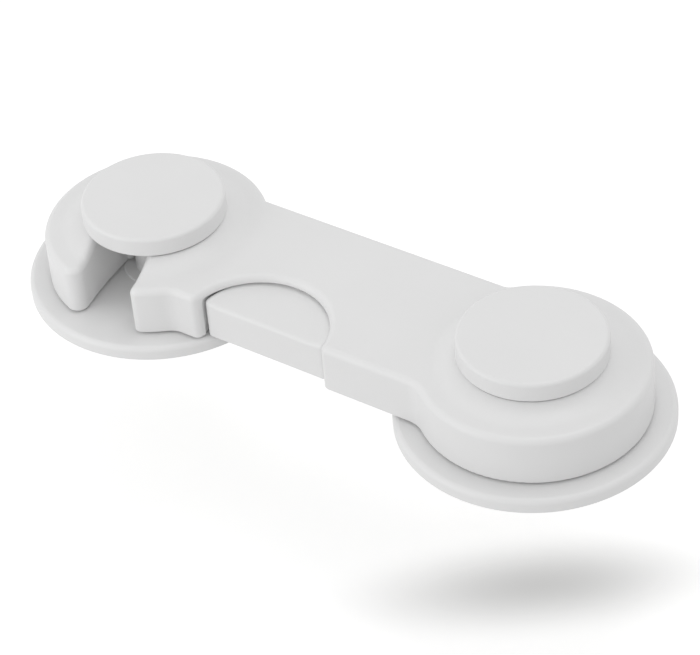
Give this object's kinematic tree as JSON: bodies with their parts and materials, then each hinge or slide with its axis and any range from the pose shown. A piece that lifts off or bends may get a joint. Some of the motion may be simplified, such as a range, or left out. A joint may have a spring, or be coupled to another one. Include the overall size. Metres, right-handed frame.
{
  "type": "child safety cabinet lock",
  "caption": "Adhesive child safety lock: a rigid arm hinged on one round base hooks a post on another, held by a latch bolt that a D-shaped push button draws back.",
  "frame": {"origin": "centre of the hinge base's adhesive pad, on the face that meets the furniture; the hinge axis is the Z axis", "axes": "+Z away from the furniture; -X along the arm to the striker; -Y to the slot's mouth and the push button"},
  "size_m": [0.1422, 0.0542, 0.0209],
  "materials": {
    "white_plastic": "satin moulded",
    "bolt_plastic": "satin moulded",
    "pad_foam": "closed-cell foam with adhesive faces",
    "screw_steel": "zinc plated",
    "spring_steel": "drawn wire"
  },
  "bodies": {
    "hinge_mount": {"hinge_base": "white_plastic", "hinge_cap": "white_plastic", "hinge_cap_screw": "screw_steel", "hinge_pad": "pad_foam"},
    "arm": {"arm_shell": "white_plastic", "arm_cover": "white_plastic", "cover_screws": "screw_steel", "button_spring": "spring_steel"},
    "striker_mount": {"striker_base": "white_plastic", "striker_cap": "white_plastic", "striker_cap_screw": "screw_steel", "striker_pad": "pad_foam"},
    "button": {"push_button": "white_plastic"},
    "bolt": {"latch_bolt": "bolt_plastic"}
  },
  "joints": [
    {"name": "arm_swing", "type": "hinge", "parent": "hinge_mount", "child": "arm", "pos_m": [0, 0, 0], "axis": [0, 0, 1], "continuous": true},
    {"name": "striker_swivel", "type": "hinge", "parent": "arm", "child": "striker_mount", "pos_m": [-0.088, 0, 0], "axis": [0, 0, 1], "continuous": true},
    {"name": "button_press", "type": "slide", "parent": "arm", "child": "button", "axis": [0, 1, 0], "range_m": [0, 0.0035], "stiffness_N_per_m": 400, "deforming": ["button_spring"]},
    {"name": "bolt_slide", "type": "slide", "parent": "arm", "child": "bolt", "axis": [1, 0, 0], "range_m": [0, 0.0035]}
  ],
  "couplings": [
    {"joint": "bolt_slide", "follows": "button_press", "ratio": 1}
  ]
}
